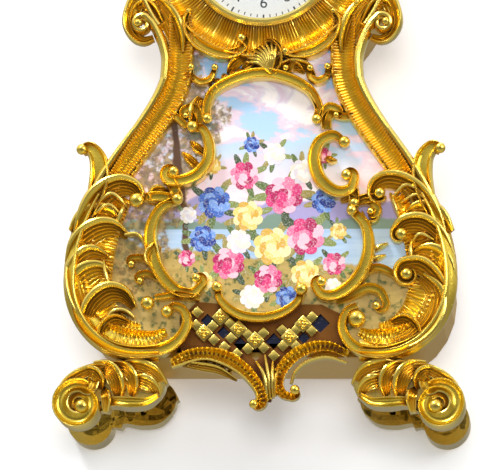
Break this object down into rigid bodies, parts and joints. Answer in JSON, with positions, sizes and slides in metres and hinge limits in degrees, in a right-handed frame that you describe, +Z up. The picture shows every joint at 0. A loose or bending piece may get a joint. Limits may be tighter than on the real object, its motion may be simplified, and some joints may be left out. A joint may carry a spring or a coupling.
{
  "type": "miniature clock",
  "caption": "Small rococo table clock with a gilt openwork front over a painted enamel plaque, scroll feet, a round enamel dial and a wind-up movement behind a hinged back door.",
  "frame": {"origin": "on the ground, under the middle of the clock", "axes": "+Z up, +X to the right as the front is seen, the dial and the front face -Y"},
  "size_m": [0.0824, 0.036, 0.142],
  "materials": {
    "gilt_front": "polished fire gilding",
    "gilt_case": "polished gilding",
    "gilt_feet": "polished fire gilding",
    "gilt_fittings": "polished",
    "gilt_hands": "polished",
    "enamel_picture": "glossy painted enamel",
    "enamel_dial": "glossy",
    "dial_glass": "clear",
    "raw_brass": "satin",
    "movement_brass": "gilt, fine grained",
    "polished_steel": "polished",
    "blued_steel": "blued"
  },
  "bodies": {
    "root": {"front_frame": "gilt_front", "dial_bezel": "gilt_case", "dial_glass": "dial_glass", "enamel_plaque": "enamel_picture", "plaque_clips": "raw_brass", "case_band": "gilt_case", "case_pillars": "raw_brass", "back_plate": "gilt_case", "back_screws": "gilt_fittings", "crest": "gilt_front", "crest_screws": "gilt_fittings", "foot_front_left": "gilt_feet", "foot_front_right": "gilt_feet", "foot_rear_left": "gilt_feet", "foot_rear_right": "gilt_feet", "foot_screws": "gilt_fittings", "door_hinge_pin": "polished_steel", "dial": "enamel_dial", "movement_ring": "movement_brass", "dog_screws": "polished_steel", "movement_front_plate": "movement_brass", "movement_rear_plate": "movement_brass", "plate_pillars": "movement_brass", "plate_screws": "polished_steel", "click_screw": "polished_steel", "click_spring": "blued_steel", "pallet_bridge": "movement_brass", "hairspring": "blued_steel", "balance_cock": "movement_brass", "cock_screw": "polished_steel"},
    "rear_door": {"rear_door": "gilt_case", "door_knob": "gilt_case"},
    "hand_arbor": {"centre_arbor": "polished_steel", "cannon_pinion": "polished_steel", "minute_hand": "gilt_hands", "hand_cap": "gilt_hands", "set_knob": "gilt_fittings"},
    "hour_hand_wheel": {"hour_wheel": "movement_brass", "hour_hand": "gilt_hands"},
    "minute_wheel": {"minute_wheel": "movement_brass"},
    "barrel": {"mainspring_barrel": "movement_brass", "barrel_cover": "movement_brass", "mainspring": "blued_steel"},
    "winding_arbor": {"barrel_arbor": "polished_steel", "ratchet_wheel": "polished_steel", "winding_key": "gilt_fittings"},
    "click": {"click": "polished_steel"},
    "centre_wheel": {"centre_wheel": "movement_brass"},
    "third_wheel": {"third_wheel": "movement_brass"},
    "fourth_wheel": {"fourth_wheel": "movement_brass"},
    "escape_wheel": {"escape_wheel": "movement_brass"},
    "pallet_lever": {"pallet_lever": "polished_steel"},
    "balance": {"balance_wheel": "movement_brass", "balance_staff": "polished_steel"},
    "regulator": {"regulator": "polished_steel"}
  },
  "joints": [
    {"name": "door_swing", "type": "hinge", "parent": "root", "child": "rear_door", "pos_m": [0.0217, 0.01615, 0.097], "axis": [0, 0, -1], "range_deg": [0, 110]},
    {"name": "hand_setting", "type": "hinge", "parent": "root", "child": "hand_arbor", "pos_m": [0, 0, 0.097], "axis": [0, 1, 0], "continuous": true},
    {"name": "hour_turn", "type": "hinge", "parent": "root", "child": "hour_hand_wheel", "pos_m": [0, 0, 0.097], "axis": [0, 1, 0], "continuous": true},
    {"name": "minute_wheel_turn", "type": "hinge", "parent": "root", "child": "minute_wheel", "pos_m": [-0.003, 0, 0.0918], "axis": [0, 1, 0], "continuous": true},
    {"name": "barrel_turn", "type": "hinge", "parent": "root", "child": "barrel", "pos_m": [-0.00855, 0, 0.09389], "axis": [0, 1, 0], "continuous": true},
    {"name": "winding", "type": "hinge", "parent": "root", "child": "winding_arbor", "pos_m": [-0.00855, 0, 0.09389], "axis": [0, 1, 0], "range_deg": [0, 1800]},
    {"name": "click_lift", "type": "hinge", "parent": "root", "child": "click", "pos_m": [-0.01074, 0, 0.08787], "axis": [0, 1, 0], "range_deg": [0, 10]},
    {"name": "centre_turn", "type": "hinge", "parent": "root", "child": "centre_wheel", "pos_m": [0, 0, 0.097], "axis": [0, 1, 0], "continuous": true},
    {"name": "third_turn", "type": "hinge", "parent": "root", "child": "third_wheel", "pos_m": [0.0036, 0, 0.10324], "axis": [0, 1, 0], "continuous": true},
    {"name": "train_turn", "type": "hinge", "parent": "root", "child": "fourth_wheel", "pos_m": [0.00963, 0, 0.10217], "axis": [0, 1, 0], "continuous": true},
    {"name": "escape_turn", "type": "hinge", "parent": "root", "child": "escape_wheel", "pos_m": [0.01099, 0, 0.09707], "axis": [0, 1, 0], "continuous": true},
    {"name": "lever_rock", "type": "hinge", "parent": "root", "child": "pallet_lever", "pos_m": [0.01099, 0, 0.09269], "axis": [0, 1, 0], "range_deg": [-5, 5]},
    {"name": "balance_swing", "type": "hinge", "parent": "root", "child": "balance", "pos_m": [0.00862, 0, 0.08841], "axis": [0, 1, 0], "range_deg": [-270, 270]},
    {"name": "regulator_shift", "type": "hinge", "parent": "root", "child": "regulator", "pos_m": [0.00862, 0, 0.08841], "axis": [0, 1, 0], "range_deg": [-12, 12]}
  ],
  "couplings": [
    {"joint": "hour_turn", "follows": "hand_setting", "ratio": 0.083333},
    {"joint": "minute_wheel_turn", "follows": "hand_setting", "ratio": -0.33333},
    {"joint": "escape_turn", "follows": "train_turn", "ratio": -10},
    {"joint": "third_turn", "follows": "train_turn", "ratio": -0.13333},
    {"joint": "centre_turn", "follows": "train_turn", "ratio": 0.016667},
    {"joint": "barrel_turn", "follows": "train_turn", "ratio": -0.0027778}
  ]
}
